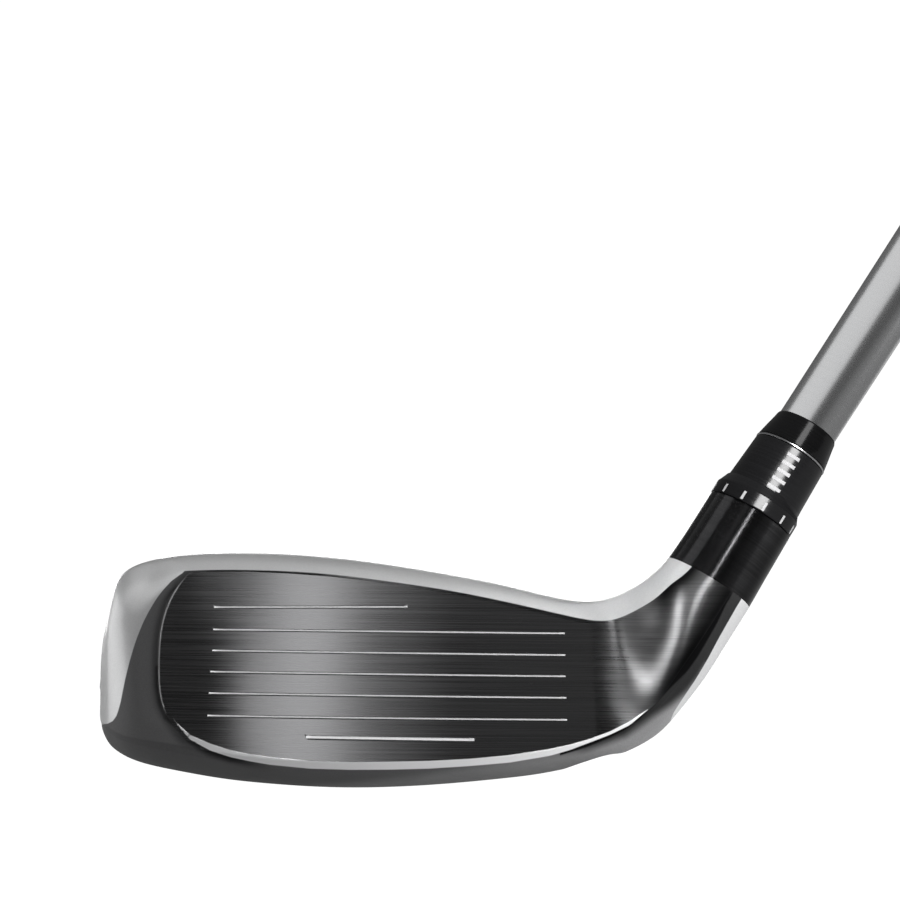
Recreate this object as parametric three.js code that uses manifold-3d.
// Adjustable hybrid golf club, right-handed, full length. Millimetres and degrees, +Z up.
// The head stands in its address position on the ground plane z = 0. The origin is the centre of
// the small flat on the sole that it rests on. -X is the toe, +X the heel and grip, -Y the way the
// face looks. All dimensions below are laid out round the point where the hosel axis meets the
// ground; HEAD_SHIFT moves every piece to the final origin.
import * as THREE from 'three';
import { mergeVertices } from 'three/addons/utils/BufferGeometryUtils.js';
import Module from 'manifold-3d';

const { degToRad, clamp, lerp } = THREE.MathUtils;

// ---------------------------------------------------------------- driving dimensions
const LIE = 57.73;                 // hosel axis above the ground
const SLEEVE_TILT = 1.3;           // the loft sleeve leans the shaft over by this much
const PIVOT_DISTANCE = 45;         // along the hosel axis, to where the shaft axis crosses it
const LOFT = 19;
const GAP = 0.3;                   // seam between neighbouring pieces
const SHELL = 2.2;                 // wall of the cast head
const FACE_THICKNESS = 2.6;
const CROWN_THICKNESS = 1.1;
const BADGE_THICKNESS = 1.1;
const SOLE_FLAT_Z = 0.15;          // height at which the lowest part of the sole is cut flat
const HEAD_SHIFT = [33, -13.8, -SOLE_FLAT_Z];
const BELOW = -6;                  // clear of the sole: cuts from underneath start here

// distances along the hosel axis, and radii round it
const HOSEL_TOP = 49.45;
const HOSEL_BORE_RADIUS = 5.9;
const BORE_FLOOR = 28;
const PORT_RADIUS = 3.9;
const PORT_ROOF = 20;
const WEB_HOLE_RADIUS = 2.75;

// a frame is the axis that a turned piece stands on
const axisAt = (angle) => [Math.cos(degToRad(angle)), 0, Math.sin(degToRad(angle))];
const HOSEL = { origin: [0, 0, 0], axis: axisAt(LIE) };
const SHAFT = {
  origin: HOSEL.axis.map((v) => v * PIVOT_DISTANCE),
  axis: axisAt(LIE - SLEEVE_TILT),
};

// ---------------------------------------------------------------- head sections
// Cross sections of the head, toe to hosel. Each lies in a plane that holds the Y direction and
// the line from its bottom point to its top point. Heights are fractions of that line. Angles are
// tangents measured from that line, positive towards the rear. Two lines per section.
const COLUMNS = [
  'bottomX', 'bottomZ', 'topX', 'topZ', 'soleY', 'crownY', 'rearY', 'rearHeight',
  'bevelLowY', 'bevelLowHeight', 'bevelTopY', 'bevelTopHeight', // leading-edge bevel
  'faceTopY', 'faceTopHeight',
  'bevelLowAngle', 'bevelTopAngle', 'faceTopAngle', 'lipAngle', // lip: from face to crown
  'rearFullness',
];
const STATIONS = [
  [-73.47, 12.45, -73.78, 18.33, 7.9, 8, 11, 0.348, 7.6, 0.16, 7.58, 0.2, 7.86, 0.86,
    -48, 12, 20.5, 50, 0.25],
  [-73.11, 9.71, -73.79, 20.87, 7.6, 8.1, 14.5, 0.428, 6.51, 0.155, 6.44, 0.19, 7.48, 0.87,
    -48, 12, 20.5, 50, 0.27],
  [-72.49, 7.72, -73.54, 23.4, 7.2, 8.3, 19.5, 0.432, 4.78, 0.15, 4.64, 0.18, 6.6, 0.88,
    -48, 12, 20.5, 50, 0.3],
  [-71.49, 6.42, -73.01, 27.29, 6.6, 8.6, 24, 0.386, 2.9, 0.14, 2.64, 0.17, 5.8, 0.89,
    -48, 12, 20.5, 50, 0.35],
  [-70.04, 5.33, -72.05, 31.52, 6, 9, 28, 0.342, 0.9, 0.127, 0.4, 0.156, 5, 0.9,
    -48, 12, 20.5, 50, 0.42],
  [-68, 4.39, -70.32, 33.43, 5.4, 9.4, 31.5, 0.33, -1.2, 0.12, -1.8, 0.148, 4.3, 0.91,
    -48, 12, 20.5, 50, 0.52],
  [-64.71, 3.49, -67.28, 34.73, 4.6, 9.8, 36, 0.319, -3.4, 0.119, -4, 0.148, 3.6, 0.914,
    -48, 12, 20.5, 50, 0.68],
  [-59.93, 2.67, -62.55, 35.68, 3.8, 10, 40.5, 0.312, -5.15, 0.117, -5.75, 0.151, 2.65, 0.91,
    -48, 17.5, 20.5, 57, 0.85],
  [-53.71, 1.75, -56.19, 36.14, 3.2, 10.2, 44.5, 0.312, -6.53, 0.115, -7.18, 0.149, 2.06, 0.91,
    -55, 17.5, 20.5, 57, 0.97],
  [-46.1, 1.03, -48.16, 36.2, 3, 10.2, 47.3, 0.311, -7.5, 0.106, -8.1, 0.141, 1.48, 0.91,
    -55, 17.5, 20.5, 57, 1],
  [-37.03, 0.59, -38.49, 35.7, 3, 10, 48.5, 0.319, -7.95, 0.109, -8.59, 0.141, 0.85, 0.911,
    -55, 17.5, 20.5, 57, 1],
  [-27.97, 0.71, -28.82, 34.6, 3, 9.6, 48.2, 0.327, -8.1, 0.111, -8.68, 0.145, 0.29, 0.909,
    -55, 17.5, 20.5, 57, 1],
  [-18.92, 1.31, -19.21, 33.09, 3, 9, 46.2, 0.336, -7.85, 0.112, -8.45, 0.147, -0.13, 0.908,
    -55, 17.5, 20.5, 57, 1],
  [-10.62, 2.18, -10.47, 31.44, 2.8, 8.4, 42.5, 0.346, -7.31, 0.113, -7.93, 0.151, -0.39, 0.9,
    -55, 17.5, 20.5, 57, 1],
  [-3.97, 3.37, -3.39, 29.77, 1, 7.6, 38.5, 0.357, -6.6, 0.118, -7.23, 0.157, -0.5, 0.895,
    -55, 17.5, 20.5, 57, 0.97],
  [0.71, 4.72, -0.02, 29.08, -1.5, 6.6, 34, 0.36, -5.94, 0.11, -6.59, 0.159, -0.54, 0.884,
    -54, 17.5, 20.5, 58, 0.9],
  [4.82, 6.03, 2.67, 28.88, -3, 5.4, 28.5, 0.38, -5.26, 0.113, -5.94, 0.17, -0.59, 0.868,
    -52, 16.5, 20.5, 60, 0.78],
  [8.51, 7.56, 5.02, 29.2, -3, 4.2, 22.5, 0.41, -4.75, 0.137, -5.6, 0.187, -0.7, 0.855,
    -50, 12, 22, 62, 0.6],
  [11.98, 9.6, 6.91, 29.84, -2.2, 3.2, 17.5, 0.44, -5, 0.172, -5.8, 0.215, -1.4, 0.854,
    -47, 6, 27, 62, 0.4],
  [15.45, 13.11, 8.62, 30.75, -1.3, 2.2, 13.2, 0.47, -5.4, 0.196, -6.25, 0.26, -2.7, 0.846,
    -44, -4, 32, 58, 0.2],
  [18.88, 17.27, 10.17, 31.81, -0.6, 1.2, 10.2, 0.49, -6, 0.22, -6.6, 0.293, -4.3, 0.838,
    -40, -14, 35, 48, 0.08],
  [21.8, 21.57, 11.92, 33.37, -0.2, 0.5, 8.3, 0.5, -6.2, 0.243, -6.6, 0.303, -5.35, 0.831,
    -36, -22, 35, 42, 0.02],
  [25.69, 27.54, 13.65, 35.14, 0, 0, 7.12, 0.5, -6.36, 0.275, -6.59, 0.31, -5.8, 0.79,
    -24.52, -22.33, 35.45, 35.45, 0],
  [27.76, 30.96, 15.99, 38.39, 0, 0, 6.96, 0.5, -6.18, 0.27, -6.32, 0.29, -5.77, 0.78,
    -26.1, -24.83, 34.06, 34.06, 0],
  [29.84, 34.38, 18.21, 41.72, 0, 0, 6.88, 0.5, -6.07, 0.265, -6.21, 0.285, -5.75, 0.775,
    -26.74, -25.47, 33.37, 33.37, 0],
  [32.25, 38.3, 20.72, 45.58, 0, 0, 6.82, 0.5, -5.98, 0.26, -6.12, 0.28, -5.74, 0.77,
    -27.39, -26.1, 32.68, 32.68, 0],
].map((row) => Object.fromEntries(COLUMNS.map((name, i) => [name, row[i]])));
const POLE = { x: -73.86, y: 8, z: 14.9 };            // end point of the toe
const SLOPE_TARGET = { x: -19.4, y: -191, z: 24.9 };  // sole and crown tangents aim at this point

// natural cubic spline
function spline(knots, values) {
  const zeros = () => Array(knots.length).fill(0);
  const widths = knots.slice(1).map((knot, i) => knot - knots[i]);
  const slopes = widths.map((width, i) => (values[i + 1] - values[i]) / width);
  const ratio = zeros();
  const reduced = zeros();
  for (let i = 1; i < widths.length; i++) {
    const pivot = 2 * (knots[i + 1] - knots[i - 1]) - widths[i - 1] * ratio[i - 1];
    ratio[i] = widths[i] / pivot;
    reduced[i] = (3 * (slopes[i] - slopes[i - 1]) - widths[i - 1] * reduced[i - 1]) / pivot;
  }
  const linear = zeros();
  const square = zeros();
  const cubic = zeros();
  for (let i = widths.length - 1; i >= 0; i--) {
    square[i] = reduced[i] - ratio[i] * square[i + 1];
    linear[i] = slopes[i] - widths[i] * (square[i + 1] + 2 * square[i]) / 3;
    cubic[i] = (square[i + 1] - square[i]) / (3 * widths[i]);
  }
  return (u) => {
    let i = widths.length - 1;
    while (i > 0 && u < knots[i]) i--;
    const t = u - knots[i];
    return values[i] + t * (linear[i] + t * (square[i] + t * cubic[i]));
  };
}

// Parameter u along the head: the root of the distance from the pole, which rounds the toe,
// carried on as a straight line of equal slope past ROOT_LENGTH.
const ROOT_LENGTH = 16;
const midX = (s) => (s.bottomX + s.topX) / 2;
const midZ = (s) => (s.bottomZ + s.topZ) / 2;
let distanceRun = midX(STATIONS[0]) - POLE.x;
const KNOTS = STATIONS.map((s, i) => {
  const previous = STATIONS[i - 1];
  if (previous) distanceRun += Math.hypot(midX(s) - midX(previous), midZ(s) - midZ(previous));
  const root = Math.sqrt(ROOT_LENGTH);
  if (distanceRun < ROOT_LENGTH) return Math.sqrt(distanceRun);
  return root + (distanceRun - ROOT_LENGTH) / (2 * root);
});

// splines mirrored past the pole, so that sizes close to nothing there and the rest runs level
const MIRRORED = 5;
function mirroredSpline(valueOf, sign, atPole) {
  const reflect = (list, factor) => list.slice(0, MIRRORED).reverse().map((v) => factor * v);
  const values = STATIONS.map(valueOf);
  return spline(
    [...reflect(KNOTS, -1), 0, ...KNOTS],
    [...reflect(values, sign), atPole, ...values],
  );
}
const odd = (valueOf) => mirroredSpline(valueOf, -1, 0);
const even = (valueOf, atPole) => mirroredSpline(valueOf, 1, atPole);
const CURVES = {
  spanX: odd((s) => s.topX - s.bottomX),
  spanY: odd((s) => s.crownY - s.soleY),
  spanZ: odd((s) => s.topZ - s.bottomZ),
  midX: even(midX, POLE.x),
  midY: even((s) => (s.soleY + s.crownY) / 2, POLE.y),
  midZ: even(midZ, POLE.z),
};
for (const name of ['rearY', 'bevelLowY', 'bevelTopY', 'faceTopY']) {
  CURVES[name] = odd((s) => s[name] - POLE.y);
}
for (const name of COLUMNS.filter((column) => /(Height|Angle|Fullness)$/.test(column))) {
  CURVES[name] = even((s) => s[name], STATIONS[0][name]);
}

// cubic Bezier curve as n points, without its end point
function bezier(p0, p1, p2, p3, n) {
  return Array.from({ length: n }, (_, i) => {
    const t = i / n;
    const s = 1 - t;
    return [0, 1].map((k) => s ** 3 * p0[k] + 3 * t * s * s * p1[k]
      + 3 * t * t * s * p2[k] + t ** 3 * p3[k]);
  });
}
const step = (point, direction, length) => point.map((v, k) => v + direction[k] * length);
const heading = (angle) => [Math.sin(degToRad(angle)), Math.cos(degToRad(angle))];
// curve between two points and directions; handles are a fraction of the chord
function arc(from, fromDirection, to, toDirection, fraction, n) {
  const length = fraction * Math.hypot(from[0] - to[0], from[1] - to[1]);
  return bezier(from, step(from, fromDirection, length), step(to, toDirection, -length), to, n);
}

// Bezier handle lengths: fractions of the chord at the front, of the span at the rear
const HANDLES = { sole: 0.36, face: 0.345, lip: 0.36 };
const CIRCLE_HANDLE = 0.5523;      // rear of fullness 0: elliptical
const REAR_HANDLES = { crown: 0.43, aboveRear: 0.15, belowRear: 0.56, sole: 0.5 }; // fullness 1
const SLOPE_FADE = { end: 14, length: 12 };   // top x over which the aimed slopes die out

// One section as 3-D points. inset > 0 gives the matching section of an inner surface.
function section(u, segments, inset = 0) {
  const at = {};
  for (const name in CURVES) at[name] = CURVES[name](u);
  let height = Math.hypot(at.spanX, at.spanZ);
  const up = [at.spanX / height, at.spanZ / height];
  let bottomX = at.midX - at.spanX / 2;
  let bottomZ = at.midZ - at.spanZ / 2;
  const topX = at.midX + at.spanX / 2;
  const topZ = at.midZ + at.spanZ / 2;
  const soleY = at.midY - at.spanY / 2;
  const crownY = at.midY + at.spanY / 2;

  // unit direction towards the rear, as [y, height], on the line to the slope target
  const fade = clamp((SLOPE_FADE.end - topX) / SLOPE_FADE.length, 0, 1);
  const rearward = (x, y, z) => {
    const rise = (x - SLOPE_TARGET.x) * up[0] + (z - SLOPE_TARGET.z) * up[1];
    const slope = fade * rise / (y - SLOPE_TARGET.y);
    return [1 / Math.hypot(1, slope), slope / Math.hypot(1, slope)];
  };
  const soleRearward = rearward(bottomX, soleY, bottomZ);
  const crownRearward = rearward(topX, crownY, topZ);

  const corner = (name) => [at[`${name}Y`] + POLE.y, at[`${name}Height`] * height];
  let sole = [soleY, 0];
  let bevelLow = corner('bevelLow');
  let bevelTop = corner('bevelTop');
  let faceTop = corner('faceTop');
  let rear = corner('rear');
  if (inset) {
    // each corner moves in by its own share of the inset; the floors keep the corners in order
    bottomX += up[0] * inset;
    bottomZ += up[1] * inset;
    height -= 2 * inset;
    rear = [rear[0] - inset, rear[1] - inset];
    const topFloor = Math.max(bevelTop[1] - inset, 0.2) + 0.75 * inset;
    bevelLow = [bevelLow[0] + 1.5 * inset, Math.max(bevelLow[1] - inset, 0.1) + 0.5 * inset];
    bevelTop = [bevelTop[0] + 1.1 * inset, Math.max(topFloor, bevelLow[1] + 0.3)];
    faceTop = [faceTop[0] + 1.15 * inset, faceTop[1] - 1.5 * inset];
    sole = [Math.max(soleY, bevelLow[0] + 1.2), 0];
  }
  const crown = [crownY, height];
  const soleForward = soleRearward.map((v) => -v);
  const handle = (full) => lerp(CIRCLE_HANDLE, full, at.rearFullness);
  const points = [
    ...arc(sole, soleForward, bevelLow, heading(at.bevelLowAngle), HANDLES.sole, segments.sole),
    bevelLow,                      // the bevel is one straight edge
    ...arc(bevelTop, heading(at.bevelTopAngle), faceTop, heading(at.faceTopAngle),
      HANDLES.face, segments.face),
    ...arc(faceTop, heading(at.lipAngle), crown, crownRearward, HANDLES.lip, segments.lip),
    ...bezier(
      crown,
      step(crown, crownRearward, (rear[0] - crown[0]) * handle(REAR_HANDLES.crown)),
      [rear[0], rear[1] + (crown[1] - rear[1]) * handle(REAR_HANDLES.aboveRear)],
      rear,
      segments.upperRear,
    ),
    ...bezier(
      rear,
      [rear[0], rear[1] * (1 - handle(REAR_HANDLES.belowRear))],
      step(sole, soleRearward, (rear[0] - sole[0]) * handle(REAR_HANDLES.sole)),
      sole,
      segments.lowerRear,
    ),
  ];
  return points.map(([y, rise]) => [bottomX + up[0] * rise, y, bottomZ + up[1] * rise]);
}

// ---------------------------------------------------------------- solids
const wasm = await Module();
wasm.setup();

// welds the points, drops collapsed triangles and turns the skin outwards
function solid(points, triangles) {
  const raw = new THREE.BufferGeometry();
  raw.setAttribute('position', new THREE.BufferAttribute(new Float32Array(points.flat()), 3));
  raw.setIndex(triangles.flat());
  const welded = mergeVertices(raw, 1e-5);
  const index = welded.index.array;
  const position = welded.attributes.position;
  const vertex = (i) => new THREE.Vector3().fromBufferAttribute(position, i);
  const kept = [];
  let volume = 0;
  for (let i = 0; i < index.length; i += 3) {
    const [a, b, c] = index.slice(i, i + 3);
    if (a === b || b === c || a === c) continue;
    kept.push([a, b, c]);
    volume += vertex(a).dot(vertex(b).cross(vertex(c)));
  }
  if (volume < 0) kept.forEach((triangle) => triangle.reverse());
  return new wasm.Manifold(new wasm.Mesh({
    numProp: 3,
    vertProperties: new Float32Array(position.array),
    triVerts: new Uint32Array(kept.flat()),
  }));
}

// closed skin over rings of equal length, ends capped to startPole or to the middle of the ring
function skin(rings, startPole) {
  const points = rings.flat();
  const triangles = [];
  const n = rings[0].length;
  for (let i = 0; i < rings.length - 1; i++) {
    for (let j = 0; j < n; j++) {
      const a = i * n + j;
      const b = i * n + (j + 1) % n;
      triangles.push([a, b, b + n], [a, b + n, a + n]);
    }
  }
  const middle = (ring) => [0, 1, 2].map((k) => ring.reduce((sum, p) => sum + p[k] / n, 0));
  const cap = (base, pole, flip) => {
    const tip = points.push(pole) - 1;
    for (let j = 0; j < n; j++) {
      const edge = [base + j, base + (j + 1) % n];
      triangles.push([tip, ...(flip ? edge.reverse() : edge)]);
    }
  };
  cap(0, startPole ?? middle(rings[0]), true);
  cap((rings.length - 1) * n, middle(rings.at(-1)), false);
  return solid(points, triangles);
}

// body of revolution: closed loop of [radius, distance along the axis] in a frame
function turned(loop, { origin, axis }, segments = 36) {
  const side = [-axis[2], 0, axis[0]];
  const points = [];
  const triangles = [];
  const n = loop.length;
  for (let i = 0; i < segments; i++) {
    const angle = i / segments * 2 * Math.PI;
    const next = (i + 1) % segments;
    loop.forEach(([radius, distance], j) => {
      const across = radius * Math.cos(angle);
      points.push([
        origin[0] + axis[0] * distance + side[0] * across,
        origin[1] + radius * Math.sin(angle),
        origin[2] + axis[2] * distance + side[2] * across,
      ]);
      const k = (j + 1) % n;
      if (radius === 0 && loop[k][0] === 0) return;
      const far = next * n + k;
      triangles.push([i * n + j, i * n + k, far], [i * n + j, far, next * n + j]);
    });
  }
  return solid(points, triangles);
}
const ring = (inner, outer, start, end, frame = HOSEL, segments = 36) => turned(
  [[inner, start], [outer, start], [outer, end], [inner, end]], frame, segments);
const rod = (radius, start, end, frame, segments) => ring(0, radius, start, end, frame, segments);
const hexRod = (acrossFlats, start, end, frame) => rod(
  acrossFlats / Math.sqrt(3), start, end, frame, 6);

const signedArea = (outline) => outline.reduce((sum, p, i) => {
  const next = outline[(i + 1) % outline.length];
  return sum + (p[0] * next[1] - p[1] * next[0]) / 2;
}, 0);

// prism over an outline; place(point, far) puts an outline point on the near or far end
function prism(outline, place) {
  const n = outline.length;
  const points = [false, true].flatMap((far) => outline.map((p) => place(p, far)));
  const corners = outline.map((p) => new THREE.Vector2(...p));
  const triangles = [];
  for (const [a, b, c] of THREE.ShapeUtils.triangulateShape(corners, [])) {
    triangles.push([a, b, c], [a + n, c + n, b + n]);
  }
  // the caps are always wound one way, so the sides follow the winding of the outline
  const clockwise = signedArea(outline) < 0;
  for (let i = 0; i < n; i++) {
    const j = (i + 1) % n;
    for (const [a, b, c] of [[i, i + n, j + n], [i, j + n, j]]) {
      triangles.push(clockwise ? [a, c, b] : [a, b, c]);
    }
  }
  return solid(points, triangles);
}
const upright = (outline, bottom, top) => prism(outline, ([x, y], far) => [x, y, far ? top : bottom]);
const box = ([x0, x1], [y0, y1], [z0, z1]) => upright([[x0, y0], [x1, y0], [x1, y1], [x0, y1]], z0, z1);
const widen = ([low, high], by) => [low - by, high + by];

// outline moved outwards by a distance, with the reach of sharp corners limited
function grow(outline, distance) {
  const n = outline.length;
  const outward = signedArea(outline) > 0 ? distance : -distance;
  const normal = (from, to) => {
    const length = Math.hypot(to[0] - from[0], to[1] - from[1]);
    return [(to[1] - from[1]) / length, (from[0] - to[0]) / length];
  };
  return outline.map((p, i) => {
    const before = normal(outline[(i + n - 1) % n], p);
    const after = normal(p, outline[(i + 1) % n]);
    const sum = [before[0] + after[0], before[1] + after[1]];
    return step(p, sum, 2 * outward / Math.max(sum[0] ** 2 + sum[1] ** 2, 0.6));
  });
}
const minus = (body, ...cuts) => cuts.reduce((rest, cut) => rest.subtract(cut), body);
const plus = (body, ...others) => others.reduce((sum, other) => sum.add(other), body);

// ---------------------------------------------------------------- head surfaces
const OUTER_SEGMENTS = { sole: 4, face: 6, lip: 4, upperRear: 6, lowerRear: 6 };
const INNER_SEGMENTS = { sole: 3, face: 4, lip: 3, upperRear: 5, lowerRear: 5 };
const STOPS = [                    // u of the lofted sections
  0.35, 0.7, 1.1, 1.6, 2.1, 2.6, 3.1, 3.8, 4.6, 5.6, 6.7, 7.9, 9.1, 10.1, 10.9, 11.4, 11.8, 12.2,
  12.55, 12.9, 13.25, 13.6, 14.0, 14.4, 14.8, 15.2, 15.7, KNOTS.at(-1),
];
const CAVITY_END = 10.4;           // u where the cavity stops
const PANEL_END = 11.6;            // u where the surfaces under crown and badge stop

const outer = minus(
  skin(STOPS.map((u) => section(u, OUTER_SEGMENTS)), [POLE.x, POLE.y, POLE.z]),
  box([-90, 40], [-30, 70], [-8, SOLE_FLAT_Z]),
);
// solid bounded by the surface at a given depth below the outside, from the toe to uEnd
function inner(depth, uEnd) {
  const uStart = Math.sqrt(depth * 1.05);
  const between = STOPS.filter((u) => u > uStart + 0.3 && u < uEnd - 0.2);
  return skin([uStart, ...between, uEnd].map((u) => section(u, INNER_SEGMENTS, depth)));
}

// ---------------------------------------------------------------- face plate
// outline in front view, [x, z]
const FACE_OUTLINE = [
  [-58.9, 32.5], [-56, 32.75], [-49.9, 32.8], [-43.7, 32.55], [-37.6, 32.15], [-31.4, 31.5],
  [-25.3, 30.7], [-19.2, 29.7], [-13.1, 28.55], [-7.1, 27.25], [-1, 25.85], [2.2, 25.3],
  [2.2, 9.75], [-1.6, 8.6], [-4.6, 7.95], [-10.4, 7.1], [-16.1, 6.6], [-21.8, 6.25],
  [-27.5, 6.1], [-33.2, 6.0], [-38.9, 6.1], [-44.6, 6.5], [-50.4, 7.35], [-53.3, 7.8],
  [-56.3, 9.05], [-58.3, 10.7], [-59.8, 13.2], [-60.95, 16.6], [-61.65, 20.2], [-61.9, 22.4],
  [-61.75, 25.8], [-61.2, 28.7], [-60.2, 31.1],
];
// scoring lines: [first x, last x, first z, last z, width]
const SCORING_LINES = [
  [-54.9, -25.6, 27.36, 27.66, 0.7], [-54.7, -1.9, 24.02, 23.93, 0.7],
  [-54.5, -1.95, 20.93, 20.74, 0.7], [-54.5, -2.0, 17.86, 17.67, 0.7],
  [-54.4, -2.0, 14.8, 14.61, 0.7], [-54.3, -2.0, 11.64, 11.52, 0.7],
  [-39.7, -15.5, 8.87, 8.71, 1.0],
];
const FACE_BASE = { y: -9.5, z: 4 };                  // a point on the lofted plane
const FACE_BULGE = { x: -28, z: 18, radius: 310 };    // middle and radius of the convex face
const GROOVE = { depth: 0.28, front: 1.2, floorInset: 0.12, flare: 0.3, steps: 7 };

const facePlane = (z) => FACE_BASE.y + (z - FACE_BASE.z) * Math.tan(degToRad(LOFT));
const faceY = (x, z) => facePlane(z)
  + ((x - FACE_BULGE.x) ** 2 + (z - FACE_BULGE.z) ** 2) / (2 * FACE_BULGE.radius);
const facePrism = (grown, depth) => prism(
  grow(FACE_OUTLINE, grown), ([x, z], far) => [x, far ? facePlane(z) + depth : -30, z]);

function groove([x0, x1, z0, z1, width]) {
  const rings = [];
  for (let i = 0; i <= GROOVE.steps; i++) {
    const x = lerp(x0, x1, i / GROOVE.steps);
    const z = lerp(z0, z1, i / GROOVE.steps);
    const front = faceY(x, z) - GROOVE.front;
    const floor = faceY(x, z) + GROOVE.depth;
    const mouthHalf = width / 2 + GROOVE.flare;
    const floorHalf = width / 2 - GROOVE.floorInset;
    rings.push([
      [x, front, z - mouthHalf], [x, floor, z - floorHalf],
      [x, floor, z + floorHalf], [x, front, z + mouthHalf],
    ]);
  }
  return skin(rings);
}
const facePlate = minus(
  outer.intersect(facePrism(0, FACE_THICKNESS)), ...SCORING_LINES.map(groove));

// ---------------------------------------------------------------- crown panel
// inlay on a bonding ledge; outline from above, [x, y]
const CROWN_OUTLINE = [
  [-64, 18], [-60.5, 15], [-50, 14], [-38, 13.6], [-26, 13.8], [-15, 14.6], [-6.5, 16.5],
  [-4.5, 20], [-6, 27], [-11, 32.5], [-18, 36.5], [-26, 39], [-35, 40.2], [-44, 39.6],
  [-52, 36.8], [-58.5, 32], [-63, 25],
];
const CROWN_BOTTOM = 15;
const CROWN_LEDGE = 3;

const crownPrism = (grown, bottom) => upright(grow(CROWN_OUTLINE, grown), bottom, 60);
const crownPanel = minus(
  outer.intersect(crownPrism(0, CROWN_BOTTOM)), inner(CROWN_THICKNESS, PANEL_END));
const crownSeat = plus(
  minus(crownPrism(GAP, CROWN_BOTTOM - GAP), inner(CROWN_THICKNESS + GAP, PANEL_END)),
  crownPrism(-CROWN_LEDGE, CROWN_BOTTOM - GAP),
);

// ---------------------------------------------------------------- rear badge
// blank badge let into the rear skirt
const badgeBox = (grown) => box(widen([-47, -23], grown), [38, 70], widen([8.6, 14.4], grown));
const rearBadge = minus(outer.intersect(badgeBox(0)), inner(BADGE_THICKNESS, PANEL_END));
const badgeSeat = minus(badgeBox(GAP), inner(BADGE_THICKNESS + GAP, PANEL_END));

// ---------------------------------------------------------------- slot insert
// flexible insert in a slot behind the leading edge
const SLOT = { x: [-52, -18], y: [5.4, 7.4], insertTop: 4.3, top: 6.5 };
const slotInsert = outer.intersect(box(SLOT.x, SLOT.y, [BELOW, SLOT.insertTop]));
const slotSeat = box(widen(SLOT.x, GAP), widen(SLOT.y, GAP), [BELOW, SLOT.top]);

// ---------------------------------------------------------------- head body
// T-shaped track for the sliding weight: narrow neck below, wide channel above
const TRACK = { x: [-57, -13], y: 20, neckHalf: 4.8, neckTop: 6, wideHalf: 7.1, top: 9.2 };
const TRACK_BLOCK = { endWall: 3, halfWidth: 9.5, roof: 1.3 };   // metal left round the track

const trackWidth = (half) => widen([TRACK.y, TRACK.y], half);
const track = plus(
  box(TRACK.x, trackWidth(TRACK.neckHalf), [BELOW, TRACK.neckTop]),
  box(TRACK.x, trackWidth(TRACK.wideHalf), [TRACK.neckTop - 0.01, TRACK.top]),
);
const trackBlock = box(
  widen(TRACK.x, TRACK_BLOCK.endWall),
  trackWidth(TRACK_BLOCK.halfWidth),
  [BELOW, TRACK.top + TRACK_BLOCK.roof],
);
const hoselCore = rod(7.7, -4, HOSEL_TOP + 2);
const cavity = minus(inner(SHELL, CAVITY_END), hoselCore, trackBlock);
const ports = plus(
  rod(HOSEL_BORE_RADIUS, BORE_FLOOR, HOSEL_TOP + 3, HOSEL, 40),
  rod(PORT_RADIUS, -8, PORT_ROOF),
  rod(WEB_HOLE_RADIUS, PORT_ROOF - 1, BORE_FLOOR + 1),
);
const faceSeat = facePrism(GAP, FACE_THICKNESS + GAP);
const headBody = minus(outer, cavity, faceSeat, crownSeat, badgeSeat, slotSeat, track, ports);

// dense slug brazed inside the toe, just clear of the track block
const slugEnd = TRACK.x[0] - TRACK_BLOCK.endWall - GAP - 0.1;
const toeWeight = inner(SHELL + GAP, CAVITY_END).intersect(box([-66, slugEnd], [8, 24], [0, 14]));

// ---------------------------------------------------------------- sliding weight
const WEIGHT_X = -35;              // rest position in the track
const WEIGHT = { origin: [WEIGHT_X, TRACK.y, 0], axis: [0, 0, 1] };
const WEIGHT_HOLE_RADIUS = 2.15;

// block with rounded upright edges, centred on the weight's axis
function roundedBlock({ halfX, halfY, corner, bottom, top }) {
  const outline = [];
  for (let quarter = 0; quarter < 4; quarter++) {
    const signX = quarter === 0 || quarter === 3 ? 1 : -1;
    const signY = quarter < 2 ? 1 : -1;
    for (let i = 0; i <= 4; i++) {
      const angle = (quarter + i / 4) * Math.PI / 2;
      outline.push([
        WEIGHT_X + signX * (halfX - corner) + corner * Math.cos(angle),
        TRACK.y + signY * (halfY - corner) + corner * Math.sin(angle),
      ]);
    }
  }
  return upright(outline, bottom, top);
}
const weightSlider = minus(
  roundedBlock({ halfX: 8.5, halfY: TRACK.neckHalf - GAP, corner: 3, bottom: 2.4, top: 5.95 }),
  rod(3.5, 0, 5.05, WEIGHT, 32),
  rod(WEIGHT_HOLE_RADIUS, 4, 8, WEIGHT, 32),
);
const weightClamp = minus(
  roundedBlock({ halfX: 7.5, halfY: 6.75, corner: 1.5, bottom: 6.25, top: 8.85 }),
  rod(WEIGHT_HOLE_RADIUS, 5, 10, WEIGHT, 32),
);
const weightScrew = minus(
  turned([
    [0, 2.75], [3.0, 2.75], [3.2, 2.95], [3.2, 4.8], [1.9, 4.8], [1.9, 8.5], [1.6, 8.8], [0, 8.8],
  ], WEIGHT, 32),
  hexRod(3, 2, 4.1, WEIGHT),
);

// ---------------------------------------------------------------- hosel hardware
const SHAFT_TIP = -6;              // along the shaft axis from the pivot
const SLEEVE_RADIUS = HOSEL_BORE_RADIUS - GAP;
const COLLAR_BOTTOM = HOSEL_TOP + GAP;
const COLLAR_BORE_RADIUS = 4.82;   // trim ring and ferrule, round the shaft

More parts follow.
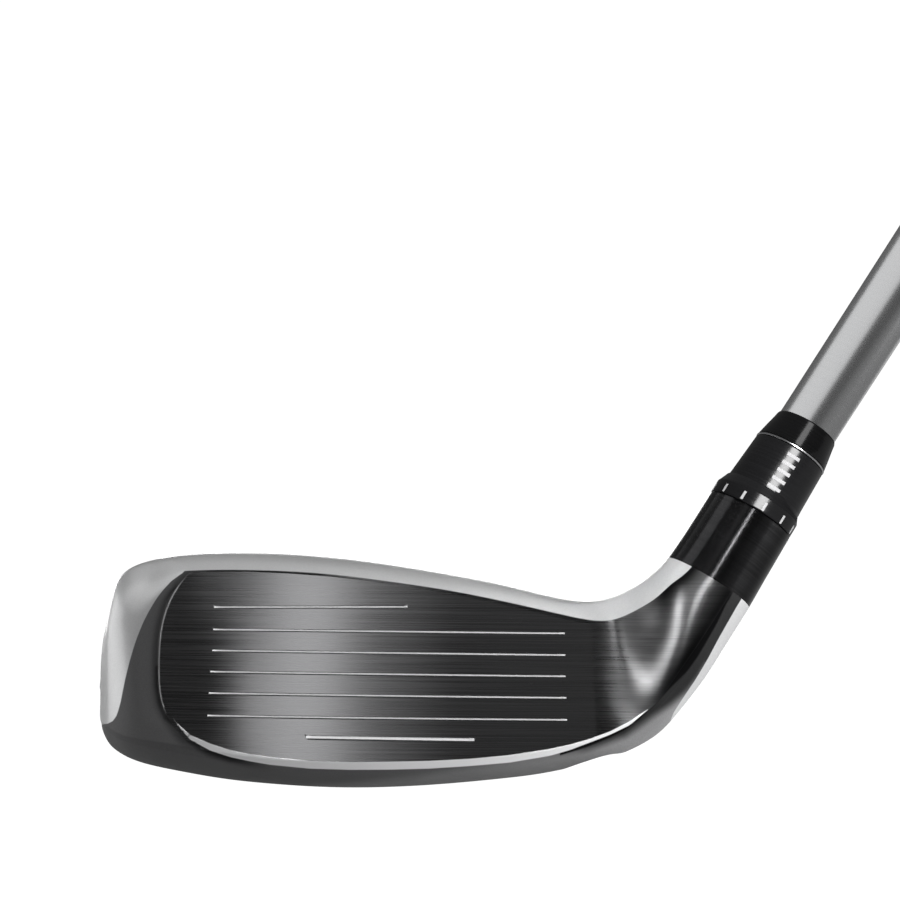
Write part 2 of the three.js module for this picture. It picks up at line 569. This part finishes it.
const sleeveLower = turned([
  [0, 30], [5.2, 30], [SLEEVE_RADIUS, 30.5], [SLEEVE_RADIUS, 49.2], [5.35, COLLAR_BOTTOM],
  [6.62, COLLAR_BOTTOM], [6.75, 49.9], [6.75, 52.05], [6.1, 53.6], [5.5, 53.8], [0, 53.8],
], HOSEL, 48);
const sleeveUpper = turned([
  [0, 6.5], [5.6, 6.5], [6.06, 8.2], [6.02, 9.2], [5.73, 16.0], [0, 16.0],
], SHAFT, 48);
const loftSleeve = minus(
  plus(sleeveLower, sleeveUpper),
  rod(2.75, 26, 42),
  rod(4.85, SHAFT_TIP - GAP, 30, SHAFT, 40),
);
const trimRing = turned([
  [COLLAR_BORE_RADIUS, 16.12], [5.68, 16.12], [5.76, 16.2], [5.76, 16.36], [5.68, 16.44],
  [COLLAR_BORE_RADIUS, 16.44],
], SHAFT, 48);
const ferrule = turned([
  [COLLAR_BORE_RADIUS, 16.56], [5.6, 16.56], [5.69, 16.66], [5.36, 18.6], [5.03, 20.25],
  [4.92, 21.0], [COLLAR_BORE_RADIUS, 21.1],
], SHAFT, 48);

const SCREW = { bottom: 14.7, headTop: 18.6, headRadius: 3.5, shankRadius: 2.4, tip: 37 };
const SCREW_SOCKET = { acrossFlats: 3, depth: 2.4 };
const sleeveScrew = minus(
  turned([
    [0, SCREW.bottom], [SCREW.headRadius - 0.3, SCREW.bottom],
    [SCREW.headRadius, SCREW.bottom + 0.3], [SCREW.headRadius, SCREW.headTop],
    [SCREW.shankRadius, SCREW.headTop], [SCREW.shankRadius, SCREW.tip - 0.5],
    [SCREW.shankRadius - 0.5, SCREW.tip], [0, SCREW.tip],
  ], HOSEL),
  hexRod(SCREW_SOCKET.acrossFlats, SCREW.bottom - 1, SCREW.bottom + SCREW_SOCKET.depth, HOSEL),
);
const screwWasher = ring(2.65, 3.65, SCREW.headTop + 0.15, PORT_ROOF - 0.25);
const screwRetainer = ring(2.5, 4.6, BORE_FLOOR + GAP, BORE_FLOOR + 1.3);

// ---------------------------------------------------------------- shaft and grip
// [radius, distance along the shaft axis from the pivot]
const SHAFT_OUTSIDE = [
  [4.68, SHAFT_TIP], [4.70, 24], [4.93, 60], [5.35, 150], [5.95, 300], [6.6, 500], [7.25, 700],
  [7.6, 800], [7.6, 970],
];
const SHAFT_BORE = [[2.6, SHAFT_TIP], [2.9, 60], [4.3, 200], [5.55, 500], [6.6, 800], [6.6, 970]];
const GRIP_MOUTH = 712;
const GRIP_END = 972;
const CLUB_END = 977;
const GRIP_OUTSIDE = [
  [8.75, GRIP_MOUTH], [9.3, 714], [9.75, 745], [10.3, 800], [11.0, 860], [11.9, 915],
  [12.75, 950], [13.35, 966], [13.5, 971], [13.45, GRIP_END],
];
const GRIP_CLEARANCE = 0.5;        // inside of the grip, off the shaft
const TAPE = { inside: 0.12, outside: 0.34, start: 718, bend: 800, end: 966 };

function shaftRadius(distance) {
  let i = 0;
  while (i < SHAFT_OUTSIDE.length - 2 && distance > SHAFT_OUTSIDE[i + 1][1]) i++;
  const [[r0, s0], [r1, s1]] = SHAFT_OUTSIDE.slice(i, i + 2);
  return r0 + (r1 - r0) * (distance - s0) / (s1 - s0);
}
const offShaft = (distance, clearance) => [shaftRadius(distance) + clearance, distance];

const shaft = turned([...SHAFT_OUTSIDE, ...SHAFT_BORE.toReversed()], SHAFT, 40);
const plugStart = SHAFT_TIP + GAP;
const tipPlug = turned(
  [[0, plugStart], [2.4, plugStart], [2.4, 12], [2.0, 13], [0, 13]], SHAFT, 24);
const gripTape = turned([
  offShaft(TAPE.start, TAPE.inside), offShaft(TAPE.start, TAPE.outside),
  offShaft(TAPE.bend, TAPE.outside), offShaft(TAPE.end, TAPE.outside),
  offShaft(TAPE.end, TAPE.inside), offShaft(TAPE.bend, TAPE.inside),
], SHAFT, 40);
const grip = turned([
  ...GRIP_OUTSIDE,
  offShaft(GRIP_END, GRIP_CLEARANCE), offShaft(800, GRIP_CLEARANCE),
  offShaft(GRIP_MOUTH, GRIP_CLEARANCE),
], SHAFT, 40);
const gripCap = turned([
  [1.4, GRIP_END + GAP], [13.1, GRIP_END + GAP], [13.45, GRIP_END + 0.8], [13.4, 974.6],
  [12.7, 976.3], [11.6, CLUB_END], [1.4, CLUB_END],
], SHAFT, 48);

// ---------------------------------------------------------------- group
const club = new THREE.Group();
club.name = 'hybrid_golf_club';
function addPiece(name, body, color, finish) {
  const { vertProperties, triVerts } = body.translate(HEAD_SHIFT).getMesh();
  const geometry = new THREE.BufferGeometry();
  const positions = new Float32Array(vertProperties);
  geometry.setAttribute('position', new THREE.BufferAttribute(positions, 3));
  geometry.setIndex(new THREE.BufferAttribute(new Uint32Array(triVerts), 1));
  geometry.computeVertexNormals();
  const material = new THREE.MeshStandardMaterial({ color, ...finish });
  const piece = new THREE.Mesh(geometry, material);
  piece.name = name;
  club.add(piece);
}
addPiece('head_body', headBody, 0xc9cbce, { metalness: 0.6, roughness: 0.35 });
addPiece('face_plate', facePlate, 0x3a3b3d, { metalness: 0.9, roughness: 0.4 });
addPiece('crown_panel', crownPanel, 0x1c1d1f, { metalness: 0.2, roughness: 0.4 });
addPiece('rear_badge', rearBadge, 0x8d9094, { metalness: 0.8, roughness: 0.35 });
addPiece('slot_insert', slotInsert, 0x2b2c2e, { metalness: 0, roughness: 0.7 });
addPiece('toe_weight', toeWeight, 0x77756f, { metalness: 0.9, roughness: 0.5 });
addPiece('weight_slider', weightSlider, 0x9b9da1, { metalness: 0.9, roughness: 0.35 });
addPiece('weight_clamp', weightClamp, 0x85878b, { metalness: 0.9, roughness: 0.45 });
addPiece('weight_screw', weightScrew, 0x46484b, { metalness: 0.9, roughness: 0.4 });
addPiece('loft_sleeve', loftSleeve, 0x161718, { metalness: 0.7, roughness: 0.25 });
addPiece('trim_ring', trimRing, 0x8f9194, { metalness: 0.9, roughness: 0.3 });
addPiece('ferrule', ferrule, 0x0d0d0e, { metalness: 0.1, roughness: 0.3 });
addPiece('sleeve_screw', sleeveScrew, 0x505256, { metalness: 0.9, roughness: 0.35 });
addPiece('screw_washer', screwWasher, 0xa8aaad, { metalness: 0.9, roughness: 0.4 });
addPiece('screw_retainer', screwRetainer, 0xe4e0d4, { metalness: 0, roughness: 0.6 });
addPiece('shaft', shaft, 0x9fa1a4, { metalness: 0.5, roughness: 0.35 });
addPiece('tip_plug', tipPlug, 0xb9935a, { metalness: 0.9, roughness: 0.4 });
addPiece('grip_tape', gripTape, 0xd8d2bd, { metalness: 0, roughness: 0.8 });
addPiece('grip', grip, 0x1b1c1d, { metalness: 0, roughness: 0.8 });
addPiece('grip_cap', gripCap, 0x242526, { metalness: 0, roughness: 0.7 });
export default club;
